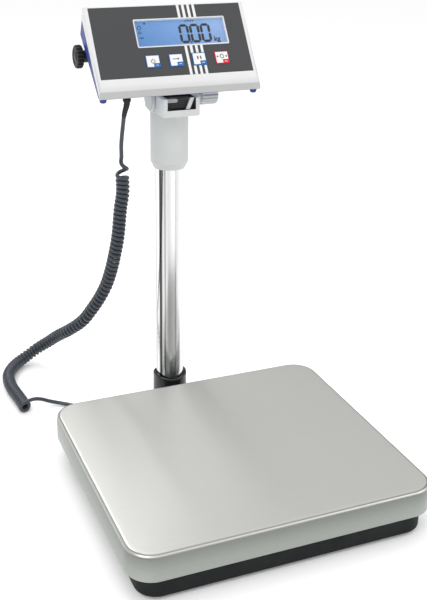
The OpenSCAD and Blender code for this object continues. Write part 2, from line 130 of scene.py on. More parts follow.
def tree_ramp(tree, fac, stops, interpolation="LINEAR"):
    """A colour ramp in any node tree, with each stop made at its own place."""
    node = tree.nodes.new("ShaderNodeValToRGB")
    node.color_ramp.interpolation = interpolation
    elements = node.color_ramp.elements
    elements.remove(elements[1])
    elements[0].position = stops[0][0]
    for k, (position, color) in enumerate(stops):
        e = elements.new(position) if k else elements[0]
        grey = isinstance(color, (int, float))
        e.color = (color, color, color, 1) if grey else (*color, 1)
    tree.links.new(fac, node.inputs["Fac"])
    return node.outputs["Color"]


def ramp(m, fac, stops, interpolation="LINEAR"):
    """A colour ramp; stops are (position, colour) with three numbers or one grey."""
    return tree_ramp(m.node_tree, fac, stops, interpolation)


def vary(m, socket, fac, low, high):
    """A shader value that follows a noise from low to high."""
    values = ramp(m, fac, [(0.3, low), (0.7, high)])
    m.node_tree.links.new(values, shader(m).inputs[socket])


def along_axis(m, axis, low, high):
    """A value from 0 to 1 along one of the object's axes, between two millimetres."""
    t = m.node_tree
    where = t.nodes.new("ShaderNodeTexCoord")
    split = t.nodes.new("ShaderNodeSeparateXYZ")
    span = put(t.nodes.new("ShaderNodeMapRange"), From_Min=low * MM, From_Max=high * MM)
    t.links.new(where.outputs["Object"], split.inputs["Vector"])
    t.links.new(split.outputs[axis], span.inputs["Value"])
    return span.outputs["Result"]


def round_z(tree, vector):
    """A value from 0 to 1 once round Z, starting from -X, and the vector's height."""
    split = tree.nodes.new("ShaderNodeSeparateXYZ")
    angle = tree.nodes.new("ShaderNodeMath")
    angle.operation = "ARCTAN2"
    unit = tree.nodes.new("ShaderNodeMapRange")
    put(unit, From_Min=-math.pi, From_Max=math.pi)
    tree.links.new(vector, split.inputs["Vector"])
    tree.links.new(split.outputs["Y"], angle.inputs[0])
    tree.links.new(split.outputs["X"], angle.inputs[1])
    tree.links.new(angle.outputs[0], unit.inputs["Value"])
    return unit.outputs["Result"], split.outputs["Z"]


def mixed(tree, factor, a, b, blend="MIX"):
    """Two colours mixed; each of factor, a and b is a socket or a plain value."""
    mix = tree.nodes.new("ShaderNodeMix")
    mix.data_type, mix.blend_type = "RGBA", blend
    for name, value in (("Factor", factor), ("A", a), ("B", b)):
        if isinstance(value, bpy.types.NodeSocket):
            tree.links.new(value, mix.inputs[name])
        else:
            mix.inputs[name].default_value = value
    return mix.outputs["Result"]


def recolor(m, color, shade, factor=1.0):
    """The base colour becomes a colour times a shade."""
    product = mixed(m.node_tree, factor, color, shade, "MULTIPLY")
    m.node_tree.links.new(product, shader(m).inputs["Base Color"])


def bump(m, *layers):
    """Bump layers of (value, strength, height in metres), one on another."""
    t, last = m.node_tree, None
    for fac, strength, height in layers:
        node = put(t.nodes.new("ShaderNodeBump"), Strength=strength, Distance=height)
        t.links.new(fac, node.inputs["Height"])
        if last is not None:
            t.links.new(last, node.inputs["Normal"])
        last = node.outputs["Normal"]
    t.links.new(last, shader(m).inputs["Normal"])


def moulded(name, color, rough, grain=900, depth=0.25, spread=0.06, **sockets):
    """Moulded plastic: fine grain, slight unevenness in colour and gloss."""
    m = material(name, color, rough, **sockets)
    broad = noise(m, 14, detail=2)
    low = [c * (1 - spread) for c in color]
    high = [min(1, c * (1 + spread)) for c in color]
    vary(m, "Base Color", broad, low, high)
    vary(m, "Roughness", noise(m, 60, detail=4), rough * 0.88, min(1, rough * 1.15))
    bump(m, (noise(m, grain, detail=2), depth, 0.00006), (broad, 0.05, 0.0006))
    return m


def brushed(name, color, rough, along=(1, 60, 60), depth=0.12, scale=18, **sockets):
    """Metal with fine straight grain."""
    m = material(name, color, rough, 1.0, **sockets)
    grain = noise(m, scale, along, detail=6, rough=0.65)
    broad = noise(m, 5, detail=2)
    vary(m, "Base Color", grain, [c * 0.93 for c in color], [min(1, c * 1.05) for c in color])
    vary(m, "Roughness", grain, rough * 0.85, rough * 1.2)
    bump(m, (grain, depth, 0.00004), (broad, 0.04, 0.0012))
    return m


# Colour, roughness, grain and its depth, and how far the colour varies
MOULDED = {
    "steel_paint": ((0.16, 0.165, 0.175), 0.42, 420, 0.2),
    "black_rubber": ((0.02, 0.02, 0.021), 0.75, 700, 0.4),
    "foot_gloss": ((0.016, 0.017, 0.019), 0.16, 300, 0.04),
    "holder_grey": ((0.60, 0.62, 0.615), 0.48, 1000, 0.25),
    "neck_black": ((0.015, 0.015, 0.016), 0.35, 800, 0.2),
    "yoke_grey": ((0.30, 0.31, 0.32), 0.40, 500, 0.2),
    "knob_black": ((0.006, 0.006, 0.007), 0.5, 900, 0.35),
    "shell_blue": ((0.016, 0.048, 0.24), 0.40, 1200, 0.25),
    "key_edge_blue": ((0.01, 0.13, 0.42), 0.35, 1200, 0.1),
    "key_edge_red": ((0.62, 0.01, 0.025), 0.35, 1200, 0.1),
    "key_white": ((0.83, 0.83, 0.83), 0.38, 1500, 0.1, 0.02),
    "print_dark": ((0.035, 0.035, 0.04), 0.5, 1500, 0.1),
    "segment_black": ((0.004, 0.005, 0.007), 0.3, 1500, 0.05),
    "board_green": ((0.012, 0.11, 0.04), 0.35, 600, 0.3),
    "silicone": ((0.3, 0.3, 0.31), 0.6, 600, 0.2),
    "battery_wrap": ((0.03, 0.05, 0.09), 0.3, 300, 0.2),
    "backlight": ((0.8, 0.82, 0.85), 0.5, 900, 0.1),
    "cord": ((0.036, 0.044, 0.058), 0.22, 500, 0.15),
}
# Colour, roughness, the grain along each axis, its depth and its scale
BRUSHED = {
    "zinc": ((0.55, 0.55, 0.53), 0.32, (8, 8, 8), 0.15, 60),
    "cell_alloy": ((0.66, 0.67, 0.69), 0.28, (1, 30, 30)),
    "frame_silver": ((0.75, 0.77, 0.80), 0.25, (1, 30, 30)),
    "label_silver": ((0.62, 0.63, 0.64), 0.4, (1, 20, 20)),
}
M = {name: moulded(name, *values) for name, values in MOULDED.items()}
M |= {name: brushed(name, *values) for name, values in BRUSHED.items()}
M["base_black"] = moulded(
    "base_black", (0.006, 0.007, 0.008), 0.6, 1100, 0.3, Specular_IOR_Level=0.25
)


COLUMN_Y = 160.0
# Angle round the column from +X in degrees, and how bright the painted reflection on the
# polish is there
COLUMN_PAINTED_REFLECTIONS = [
    (-180, 0.45), (-172, 0.80), (-158, 0.85), (-154, 0.08), (-144, 0.06), (-140, 0.58),
    (-132, 0.66), (-130, 0.30), (-127, 0.30), (-124, 0.66), (-112, 0.62), (-102, 0.76),
    (-90, 0.88), (-76, 0.66), (-62, 0.80), (-46, 0.88), (-34, 0.42), (-22, 0.60), (-4, 0.45),
    (20, 0.72), (44, 0.75), (52, 0.14), (64, 0.55), (90, 0.70), (112, 0.36), (126, 0.66),
    (150, 0.74), (160, 0.20), (170, 0.40), (180, 0.45),
]


def make_overlay():
    """Dark label film with a plain group of pale stripes."""
    dark, pale = (0.042, 0.043, 0.046), (0.80, 0.80, 0.80)
    m = material("overlay", dark, 0.42)
    first, pitch, wide, reach = 13.0, 6.3, 3.2, 50
    stops = [(0.0, dark)]
    for k in range(4):
        x = first + pitch * k
        stops += [(x / reach, pale), ((x + wide) / reach, dark)]
    color = ramp(m, along_axis(m, "X", 0, reach), stops, "CONSTANT")
    recolor(m, color, ramp(m, noise(m, 40), [(0.3, 0.7), (0.7, 1.0)]), 0.12)
    vary(m, "Roughness", noise(m, 300), 0.38, 0.5)
    bump(m, (noise(m, 1800, detail=1), 0.25, 0.00004))
    return m


def make_stainless():
    """Brushed steel with its grain along X; the folded skirt gets painted shade, darker
    towards its top, and its rounded edge gets painted highlights.
    """
    m = material("stainless", (0.6, 0.6, 0.58), 0.34, 1.0, Anisotropic=0.5)
    t = m.node_tree
    grain = noise(m, 20, (1.5, 110, 110), detail=5, rough=0.6)
    # how far up from 20 to 60 mm above the bench, and the painted shade and highlight on the
    # steel there
    painted_fold_light = [
        (0.15, (0.60, 0.63, 0.60)), (0.45, (0.50, 0.53, 0.51)), (0.70, (0.38, 0.41, 0.395)),
        (0.79, (0.36, 0.38, 0.36)), (0.815, (1, 1, 0.98)), (0.846, (1, 1, 0.98)),
        (0.857, (0.42, 0.42, 0.40)), (0.868, (0.42, 0.42, 0.40)), (0.8735, (1, 1, 0.985)),
    ]
    steel = ramp(m, grain, [(0.3, (0.60, 0.60, 0.585)), (0.7, (0.64, 0.64, 0.625))])
    # painted shade and highlights on the skirt and its rounded edge, over the steel's grain
    # colour
    recolor(m, steel, ramp(m, along_axis(m, "Z", 20, 60), painted_fold_light))
    # one direction of grain all over, so the sheen never turns round the middle
    along = put(t.nodes.new("ShaderNodeCombineXYZ"), X=1.0)
    t.links.new(along.outputs["Vector"], shader(m).inputs["Tangent"])
    vary(m, "Roughness", grain, 0.30, 0.40)
    bump(m, (grain, 0.06, 0.00003), (noise(m, 5, detail=2), 0.04, 0.0012))
    return m


def make_column():
    """Polished tube: soft upright bands of painted reflection round it, and very fine grain
    along it.
    """
    m = material("column", (0.8, 0.8, 0.81), 0.16, 1.0)
    t = m.node_tree
    where = t.nodes.new("ShaderNodeTexCoord")
    mapping = put(t.nodes.new("ShaderNodeMapping"), Location=(0, -COLUMN_Y * MM, 0))
    t.links.new(where.outputs["Object"], mapping.inputs["Vector"])
    around = round_z(t, mapping.outputs["Vector"])[0]
    # painted reflection: light and dark bands round the tube, set in its base colour
    stops = [((a + 180) / 360, (c, c, c * 1.01)) for a, c in COLUMN_PAINTED_REFLECTIONS]
    t.links.new(ramp(m, around, stops), shader(m).inputs["Base Color"])
    grain = noise(m, 20, (60, 60, 1), detail=4)
    vary(m, "Roughness", grain, 0.18, 0.26)
    bump(m, (grain, 0.03, 0.00004))
    return m


def make_lcd():
    """Backlit display: blue, a little paler towards its right."""
    m = material("lcd_blue", (0.22, 0.40, 0.66), 0.35)
    blues = [(0.0, (0.13, 0.29, 0.56)), (0.5, (0.20, 0.37, 0.63)), (1.0, (0.31, 0.45, 0.68))]
    glow = ramp(m, along_axis(m, "X", -42, 68), blues)
    for name in ("Emission Color", "Base Color"):
        m.node_tree.links.new(glow, shader(m).inputs[name])
    put(shader(m), Emission_Strength=0.36)
    bump(m, (noise(m, 2500, detail=1), 0.05, 0.00002))
    return m


def make_shell_white():
    """White plastic, with painted shade on the narrow lip under the head's face."""
    m = moulded("shell_white", (0.74, 0.74, 0.745), 0.42, 1300, 0.22, 0.02)
    t = m.node_tree
    where = t.nodes.new("ShaderNodeTexCoord")
    facing = t.nodes.new("ShaderNodeVectorMath")
    facing.operation = "DOT_PRODUCT"
    facing.inputs[1].default_value = (0, -0.978, 0.207)
    t.links.new(where.outputs["Normal"], facing.inputs[0])
    plain = shader(m).inputs["Base Color"].links[0].from_socket
    # painted shade: faces turned like the lip under the face are made darker
    recolor(m, plain, ramp(m, facing.outputs["Value"], [(0.945, 1.0), (0.985, 0.66)]))
    return m


def make_lens():
    """Almost clear window film, with a faint ripple."""
    m = material("window_clear", (0.9, 0.95, 1.0), 0.08, Specular_IOR_Level=0.15, Alpha=0.015)
    vary(m, "Roughness", noise(m, 80), 0.05, 0.12)
    bump(m, (noise(m, 30, detail=1), 0.02, 0.0002))
    return m


M["overlay"] = make_overlay()
M["shell_white"] = make_shell_white()
M["stainless"] = make_stainless()
M["column"] = make_column()
M["lcd_blue"] = make_lcd()
M["window_clear"] = make_lens()


def paint_node(name, mat):
    """A CAD node keeps its mesh and gets its material in the object's slots."""
    obj = NODES[name]
    if not obj.data.materials:
        obj.data.materials.append(mat)
    for place in obj.material_slots:
        place.link, place.material = "OBJECT", mat


# ---------- mesh helpers ----------


def add(name, mesh, finish, body, replaced=(), place=None):
    """A piece of the model: its mesh, its finish, its body and the nodes it stands for."""
    obj = linked(name, mesh)
    if place is not None:
        mesh.transform(place)
    mesh.materials.append(M[finish])
    if body:
        flat = obj.modifiers.new("flat_faces", "WEIGHTED_NORMAL")
        flat.keep_sharp = True
        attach(obj, body)
    if replaced:
        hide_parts(*replaced)
    return obj


def tidy(me, smooth_angle=32):
    """Joins doubled points, turns faces outward, and smooths all but sharp edges."""
    bm = bmesh.new()
    bm.from_mesh(me)
    bmesh.ops.remove_doubles(bm, verts=bm.verts, dist=1e-7)
    bmesh.ops.recalc_face_normals(bm, faces=bm.faces)
    bm.to_mesh(me)
    bm.free()
    me.shade_smooth()
    me.set_sharp_from_angle(angle=math.radians(smooth_angle))


def loft(loops, caps=True, smooth_angle=32):
    """A skin over closed loops of equal length."""
    n = len(loops[0])
    verts = [p for loop in loops for p in loop]
    faces = [
        (i * n + k, i * n + (k + 1) % n, (i + 1) * n + (k + 1) % n, (i + 1) * n + k)
        for i in range(len(loops) - 1)
        for k in range(n)
    ]
    if caps:
        faces += [tuple(range(n)), tuple((len(loops) - 1) * n + k for k in range(n))]
    me = bpy.data.meshes.new("m")
    me.from_pydata([tuple(v) for v in verts], [], faces)
    tidy(me, smooth_angle)
    return me


def rounded(w, d, r, z, inset=0.0, centre=(0, 0), n=10):
    """A rectangle with round corners, as a loop in millimetres."""
    w, d, r = w - 2 * inset, d - 2 * inset, max(r - inset, 0.3)
    loop = []
    for quarter, (sx, sy) in enumerate(((1, 1), (-1, 1), (-1, -1), (1, -1))):
        for k in range(n + 1):
            a = math.radians(90 * (quarter + k / n))
            x = centre[0] + sx * (w / 2 - r) + r * math.cos(a)
            y = centre[1] + sy * (d / 2 - r) + r * math.sin(a)
            loop.append(mm(x, y, z))
    return loop


def arc(r, start, end, steps=5):
    """Points (r cos, r sin) from one angle to another."""
    angles = [math.radians(start + (end - start) * k / steps) for k in range(steps + 1)]
    return [(r * math.cos(a), r * math.sin(a)) for a in angles]


def lathe(profile, segments=96, lobes=0, axis="Z"):
    """Turns a profile of (radius, height[, lobe depth]) about an axis."""
    loops = []
    for point in profile:
        r, h = point[0], point[1]
        depth = point[2] if len(point) > 2 else 0
        loop = []
        for k in range(segments):
            a = 2 * math.pi * k / segments
            wave = 0.5 - 0.5 * math.cos(lobes * a)
            rr = max(r - depth * wave**1.5, 0.02)
            loop.append((rr * math.cos(a), rr * math.sin(a), h))
        loops.append(loop)
    if axis == "X":
        loops = [[(h, a, b) for a, b, h in loop] for loop in loops]
    elif axis == "Y":
        loops = [[(b, h, a) for a, b, h in loop] for loop in loops]
    return loft([[mm(*p) for p in loop] for loop in loops])


def bevelled(bm, edges, width, segments, clamp=False):
    bmesh.ops.bevel(
        bm,
        geom=edges,
        offset=width * MM,
        segments=segments,
        profile=0.5,
        affect="EDGES",
        clamp_overlap=clamp,
    )


def mesh_from(bm):
    """The mesh that was being edited, tidied."""
    me = bpy.data.meshes.new("m")
    bm.to_mesh(me)
    bm.free()
    tidy(me)
    return me


def pin(r, low, high, segments=32, axis="Z"):
    """A plain cylinder, most often to cut a hole with."""
    return lathe([(r, low), (r, high)], segments, axis=axis)


def box_mesh(low, high, bevel=0.0, segments=2):
    bm = bmesh.new()
    bmesh.ops.create_cube(bm, size=1)
    size = [b - a for a, b in zip(low, high)]
    centre = [(a + b) / 2 for a, b in zip(low, high)]
    bmesh.ops.scale(bm, vec=mm(*size), verts=bm.verts)
    bmesh.ops.translate(bm, vec=mm(*centre), verts=bm.verts)
    if bevel:
        bevelled(bm, bm.edges[:], bevel, segments)
    return mesh_from(bm)


def prism(outline, width, bevel=None, segments=3):
    """An outline of (y, z) drawn out along X, with bevel(a, b) giving each edge's radius."""
    n = len(outline)
    bm = bmesh.new()
    sides = []
    for x in (-width / 2, width / 2):
        sides.append([bm.verts.new(mm(x, y, z)) for y, z in outline])
    for k in range(n):
        j = (k + 1) % n
        bm.faces.new((sides[0][k], sides[0][j], sides[1][j], sides[1][k]))
    bm.faces.new(sides[0])
    bm.faces.new(sides[1])
    bmesh.ops.recalc_face_normals(bm, faces=bm.faces)
    if bevel:
        groups = {}
        for e in bm.edges:
            a, b = (v.co / MM for v in e.verts)
            groups.setdefault(bevel(a, b), []).append(e)
        for radius in sorted((r for r in groups if r), reverse=True):
            edges = [e for e in groups[radius] if e.is_valid]
            bevelled(bm, edges, radius, segments, clamp=True)
    return mesh_from(bm)


def mesh_result(obj):
    """The object's mesh with its modifiers done."""
    bpy.context.view_layer.update()
    graph = bpy.context.evaluated_depsgraph_get()
    return bpy.data.meshes.new_from_object(obj.evaluated_get(graph))


def boolean(base, others, operation="DIFFERENCE", smooth_angle=32):
    """The base mesh with other meshes cut from it or joined to it."""
    obj, tools = linked("tmp", base), [linked("tmp_other", other) for other in others]
    for tool in tools:
        mod = obj.modifiers.new("b", "BOOLEAN")
        mod.operation, mod.solver, mod.object = operation, "EXACT", tool
    me = mesh_result(obj)
    for o in [obj, *tools]:
        bpy.data.objects.remove(o)
    tidy(me, smooth_angle)
    return me


def joined(meshes):
    """Several meshes as one."""
    bm = bmesh.new()
    for me in meshes:
        bm.from_mesh(me)
    out = bpy.data.meshes.new("m")
    bm.to_mesh(out)
    bm.free()
    out.shade_smooth()
    out.set_sharp_from_angle(angle=math.radians(32))
    return out


def moved(me, matrix):
    out = me.copy()
    out.transform(matrix)
    return out


def shift(x, y, z):
    return Matrix.Translation(mm(x, y, z))


def turn(axis, degrees):
    return Matrix.Rotation(math.radians(degrees), 4, axis)


def shape(outline, y0, y1):
    """A flat (x, z) outline with a thickness from y0 to y1, in millimetres."""
    return loft([[mm(x, y, z) for x, z in outline] for y in (y0, y1)])


def ring_shape(outer, inner, y0, y1):
    """A flat frame between two (x, z) outlines of equal length."""
    lines = ((outer, y1), (outer, y0), (inner, y0), (inner, y1), (outer, y1))
    loops = [[mm(x, y, z) for x, z in line] for line, y in lines]
    return loft(loops, caps=False)


def round_outline(w, h, r, centre=(0, 0), n=6):
    return [(p.x / MM, p.y / MM) for p in rounded(w, h, r, 0, 0, centre, n)]


def disc_outline(r, centre=(0, 0), n=40):
    angles = [2 * math.pi * k / n for k in range(n)]
    return [(centre[0] + r * math.cos(a), centre[1] + r * math.sin(a)) for a in angles]


# ---------- cord ----------

LEAD_D, COIL_D = 4.8, 16.5
# Points of the upper lead, of the coil's own axis and of the lower lead, in millimetres
UPPER = [
    (-62, 126, 404.7), (-62.2, 126.1, 401), (-63.7, 126.8, 395), (-65, 128, 388),
    (-65.7, 129.5, 379), (-66.3, 131, 370), (-66.8, 132.6, 361), (-67, 134, 352),
    (-66.6, 135, 340),
]
COIL = [
    (-66.6, 135, 340), (-65.5, 136.8, 318), (-65, 138, 296), (-67, 141, 277),
    (-68, 144, 257), (-69, 148, 237),
    (-71, 154, 216), (-73, 162, 195), (-76, 173, 172), (-81, 187, 149), (-87, 206, 125),
    (-94, 229, 100), (-103, 262, 75), (-107, 284, 61), (-112, 305, 47), (-118, 318, 36),
    (-126, 327, 27), (-135, 331, 20), (-144, 331, 14.5), (-153, 328, 11), (-162, 322, 9),
    (-172, 309, 8.5), (-180, 292, 8.5), (-183, 272, 8.5), (-183, 252, 8.5),
    (-181, 234, 8.5), (-179, 216, 8.5), (-178, 200, 8.5),
]
LOWER = [
    (-168, 204, 15), (-157, 207, 12), (-146, 207, 7), (-134, 203, 4), (-122, 195, 3),
    (-111, 183, 3), (-103, 169, 4), (-98, 154, 8), (-95.5, 140, 13), (-95, 129, 16.5),
    (-95, 120, 17.5), (-95, 114, 17.5),
]
# How far apart the coil's turns are, as (distance along the coil, pitch), in millimetres
PITCH = [
    (0, 30), (12, 26), (26, 5.2), (85, 5.6), (149, 6.5), (202, 7.6), (233, 8.6), (268, 9.2),
    (337, 9.2), (363, 8.2), (381, 7.0), (396, 6.0), (419, 5.3), (585, 5.1),
]
TURN_STEPS = 14


def evenly(points, step):
    """The same line with its points at even steps, and its last point kept."""
    out, left = [points[0].copy()], step
    for a, b in zip(points, points[1:]):
        length = (b - a).length
        while length > 0 and left <= length:
            out.append(a.lerp(b, left / length))
            left += step
        left -= length
    if (out[-1] - points[-1]).length > step * 0.3:
        out.append(points[-1].copy())
    else:
        out[-1] = points[-1].copy()
    return out


def smooth_path(points, step):
    """Points at even steps on a smooth curve through the given ones, in millimetres."""
    p = [Vector(q) for q in points]
    p = [p[0] * 2 - p[1], *p, p[-1] * 2 - p[-2]]
    dense = []
    for a, b, c, d in zip(p, p[1:], p[2:], p[3:]):
        for k in range(24):
            t = k / 24
            dense.append(
                0.5 * (2 * b + (c - a) * t + (2 * a - 5 * b + 4 * c - d) * t * t)
                + 0.5 * (3 * b - a - 3 * c + d) * t**3
            )
    dense.append(p[-2].copy())
    return evenly(dense, step)


def headings(points):
    """The line's direction at each point."""
    last = len(points) - 1
    return [
        (points[min(i + 1, last)] - points[max(i - 1, 0)]).normalized()
        for i in range(last + 1)
    ]


def carried(points, start):
    """A side direction at each point that never twists about the line."""
    sides, u = [], Vector(start)
    for t in headings(points):
        u = (u - t * u.dot(t)).normalized()
        sides.append(u)
    return sides


def between(table, x):
    """The table's value at x, on straight lines from one entry to the next."""
    for (x0, y0), (x1, y1) in zip(table, table[1:]):
        if x <= x1:
            return y0 + (y1 - y0) * (x - x0) / (x1 - x0)
    return table[-1][1]


def coil_line():
    """The wire's middle along the curly stretch, which ends at the top of its last turn."""
    step = 0.5
    axis = smooth_path(COIL, step)
    ways, sides = headings(axis), carried(axis, (0, 1, 0))
    phases, phase = [], 0.0
    for i in range(len(axis)):
        phases.append(phase)
        phase += 2 * math.pi * step / between(PITCH, i * step)
    total = phases[-1]
    t, u = ways[-1], sides[-1]
    across = u.cross(t)
    up = Vector((0, 0, 1))
    offset = math.atan2(up.dot(across), up.dot(u)) - total
    radius = (COIL_D - LEAD_D) / 2
    out, k, target = [], 0, 0.0
    while target <= total:
        while k < len(phases) - 2 and phases[k + 1] < target:
            k += 1
        f = (target - phases[k]) / (phases[k + 1] - phases[k])
        middle = axis[k].lerp(axis[k + 1], f)
        side = sides[k].lerp(sides[k + 1], f)
        way = ways[k].lerp(ways[k + 1], f).normalized()
        side = (side - way * side.dot(way)).normalized()
        a = offset + target
        grow = min(1.0, target / (1.3 * math.pi))
        r = radius * grow * grow * (3 - 2 * grow)
        out.append(middle + r * (math.cos(a) * side + math.sin(a) * side.cross(way)))
        target += 2 * math.pi / TURN_STEPS
    return out


def tube(points, radii, sides=10):
    """A round skin along points in millimetres; radii is one number or one for each."""
    if not hasattr(radii, "__len__"):
        radii = [radii] * len(points)
    ways, us = headings(points), carried(points, (0, 1, 0.2))
    loops = []
    for p, t, u, r in zip(points, ways, us, radii):
        w = t.cross(u)
        loops.append(
            [
                mm(*(p + r * (math.cos(a) * u + math.sin(a) * w)))
                for a in (2 * math.pi * k / sides for k in range(sides))
            ]
        )
    return loft(loops, smooth_angle=60)


upper_line = smooth_path(UPPER, 2.6)
coil_points = coil_line()
lower_line = smooth_path([*coil_points[-3:], *LOWER], 2.6)
cord_line = upper_line + coil_points[1:-3] + lower_line
cord_nodes = ("cord_upper_lead", "cord_coil", "cord_lower_lead")
cord = add("cord", tube(cord_line, LEAD_D / 2), "cord", None, cord_nodes)
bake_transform(cord)
for name, line, body, radii in (
    ("cord_boot_head", upper_line[:8], "head", (3.7, 2.75)),
    ("cord_boot_base", lower_line[-8:][::-1], "root", (3.8, 2.75)),
):
    fine = evenly(line, 1.0)
    count = len(fine) - 1
    profile = [
        radii[0] + (radii[1] - radii[0]) * i / count - (0.35 if i % 3 == 2 else 0)
        for i in range(len(fine))
    ]
    add(name, tube(fine, profile, 20), "black_rubber", body)


# ---------- platform ----------

PLATE_Y = -44.0
AT_PLATE = shift(0, PLATE_Y, 0)
PLATE_W, PLATE_D, PLATE_TOP = 330, 305, 55
BASE_W, BASE_D, BASE_LOW, BASE_TOP = 312, 295, 9, 38
FOOT_X, FOOT_Y = 125, 118
SCREW_X, SCREW_Y = 100, 90
CORNERS = [(x, y) for x in (-1, 1) for y in (-1, 1)]


def weighing_plate():
    """Steel plate folded down at its edges, from its underside out and over to its top."""
    w, d, r, top, low, sheet, edge = PLATE_W, PLATE_D, 28, PLATE_TOP, 26, 1.5, 4.8
    path = [(sheet + edge, top - sheet)]
    inner = edge - sheet
    for a, b in arc(inner, 90, 0):
        path.append((sheet + inner - a, top - sheet - inner + b))
    path += [(sheet, 34), (sheet, low + 0.5), (sheet - 0.4, low), (0.5, low), (0, low + 0.6)]
    path += [(0, 33), (0, 42)]
    for a, b in arc(edge, 0, 90, 9):
        path.append((edge - a, top - edge + b))
    path += [(edge + 3, top), (edge + 30, top)]
    me = loft([rounded(w, d, r, z, i, n=14) for i, z in path], smooth_angle=40)
    add("pan", me, "stainless", "plate", ("weighing_plate",), AT_PLATE)


def base_tub():
    """Dark open tub on a shallow rim, drilled for its feet and screws."""
    w, d, r, low, top, rim = BASE_W, BASE_D, 23, BASE_LOW, BASE_TOP, 3.5
    path = [(30, 12), (4.5, 12), (3, 13.5), (3, top - 0.6), (2.4, top)]
    path += [(0.6, top), (0, top - 0.6), (0, 30)]
    for a, b in arc(3, 0, 60, 4):
        path.append((0.4 + 3 - a, rim + 3 - b))
    path += [(2.6, rim), (3, rim + 0.5), (3, low - 0.6), (3.6, low), (40, low)]
    tub = loft([rounded(w, d, r, z, i, n=12) for i, z in path], smooth_angle=40)
    cutters = [box_mesh((-29.5, 141, 15.5), (29.5, 152, 26.5), 1.0)]
    stud_hole = pin(4.2, -5, 16)
    screw_hole = pin(4.5, -3, 1.8)
    for x, y in CORNERS:
        cutters.append(moved(stud_hole, shift(x * FOOT_X, y * FOOT_Y, 8)))
        cutters.append(moved(screw_hole, shift(x * SCREW_X, y * SCREW_Y, 9)))
    me = boolean(tub, cutters, smooth_angle=40)
    add("tub", me, "base_black", "root", ("base_housing",), AT_PLATE)


def base_bosses():
    """Foot bosses inside the tub and stiffening ribs underneath it."""
    ring = [(4.1, 12.2), (9.6, 12.2), (9.0, 13.4), (8.8, 26.5), (8.3, 27), (4.6, 27)]
    boss = lathe([*ring, (4.1, 26.5), ring[0]], 40)
    parts = [moved(boss, shift(x * FOOT_X, y * FOOT_Y, 0)) for x, y in CORNERS]
    half, low, high = 0.9, 7.9, 9.4
    for k in range(-2, 3):
        x, y = 46 * k, 48 * k
        parts.append(box_mesh((-104, y - half, low), (104, y + half, high), 0.3))
        parts.append(box_mesh((x - half, -118, low), (x + half, 118, high), 0.3))
    add("tub_ribs", joined(parts), "base_black", "root", (), AT_PLATE)


def screw_head(r, h, slot_wide, slot_long):
    """A low domed head with a cross recess, standing on z = 0."""
    profile = [(0.02, 0), (r * 0.97, 0), (r, 0.15), (r, h * 0.45)]
    for a, b in arc(1, 15, 80, 5):
        profile.append((r * a, h * 0.45 + h * 0.55 * b))
    profile.append((0.02, h))
    head = lathe(profile, 40)
    cutters = []
    x, y = slot_long / 2, slot_wide / 2
    for a in (12, 102):
        slot = box_mesh((-x, -y, h * 0.35), (x, y, h + 1))
        cutters.append(moved(slot, turn("Z", a)))
    return boolean(head, cutters)


def shaft(r, z0, z1, pitch=1.0):
    """A threaded shaft, as rings."""
    profile, z, k = [(r * 0.8, z0)], z0 + 0.2, 0
    while z < z1:
        profile.append((r if k % 2 else r * 0.86, z))
        z += pitch / 2
        k += 1
    profile.append((r * 0.9, z1))
    return lathe(profile, 24)


def screws(name, spots, head, stem, body, node, place=None, aim=0):
    """One piece for a group of equal screws, by the sizes of their heads and stems."""
    meshes = [moved(me, turn("X", aim)) for me in (screw_head(*head), shaft(*stem))]
    parts = [moved(me, shift(*spot)) for spot in spots for me in meshes]
    add(name, joined(parts), "zinc", body, (node,), place)


def levelling_foot(name, x, y):
    """Rubber pad, scalloped disc and threaded stud at one of the four corners."""
    pad = [(0.02, 0), (12.0, 0), (12.6, 0.35), (13.0, 1.0), (12.7, 1.6), (13.2, 2.2)]
    pad += [(13.0, 3.0), (13.6, 3.8), (13.9, 4.5), (13.4, 5.0), (0.02, 5.0)]
    disc = [(0.02, 5.0), (13.6, 5.0, 0), (14.6, 5.2, 0.6), (15, 5.7, 1.1), (15, 8.0, 1.1)]
    disc += [(14.6, 8.5, 0.6), (13.4, 8.7, 0), (0.02, 8.7)]
    place = AT_PLATE @ shift(x * FOOT_X, y * FOOT_Y, 0)
    add(name + "_pad", lathe(pad, 56), "black_rubber", name, (name,), place)
    add(name + "_disc", lathe(disc, 96, 24), "base_black", name, (), place)
    add(name + "_stud", shaft(4.0, 8.7, 26, 1.25), "zinc", name, (), place)


weighing_plate()
base_tub()
base_bosses()
for side_y, word_y in ((-1, "front"), (1, "rear")):
    for side_x, word_x in ((-1, "left"), (1, "right")):
        levelling_foot(f"foot_{word_y}_{word_x}", side_x, side_y)
spots = [(x * SCREW_X, y * SCREW_Y, 16) for x, y in CORNERS]
head, stem = (4.5, 2.8, 1.0, 5.0), (2.5, -6.4, 0)
screws("base_screw_set", spots, head, stem, "root", "base_screws", AT_PLATE)
spots = [(x, y, 24) for x in (-18, 18) for y in (103, 116)]
head, stem = (5, 3, 1.1, 5.4), (3, -11.6, 0)
screws("tongue_screw_set", spots, head, stem, "root", "column_foot_screws", AT_PLATE)


# ---------- column ----------

AT_COLUMN = shift(0, COLUMN_Y, 0)
NECK_Z = 399


def scoop(x, reach=60.0, centre=103.5):
    """Height of the foot's scooped rim at a distance from its middle plane."""
    return centre - math.sqrt(reach * reach - x * x)


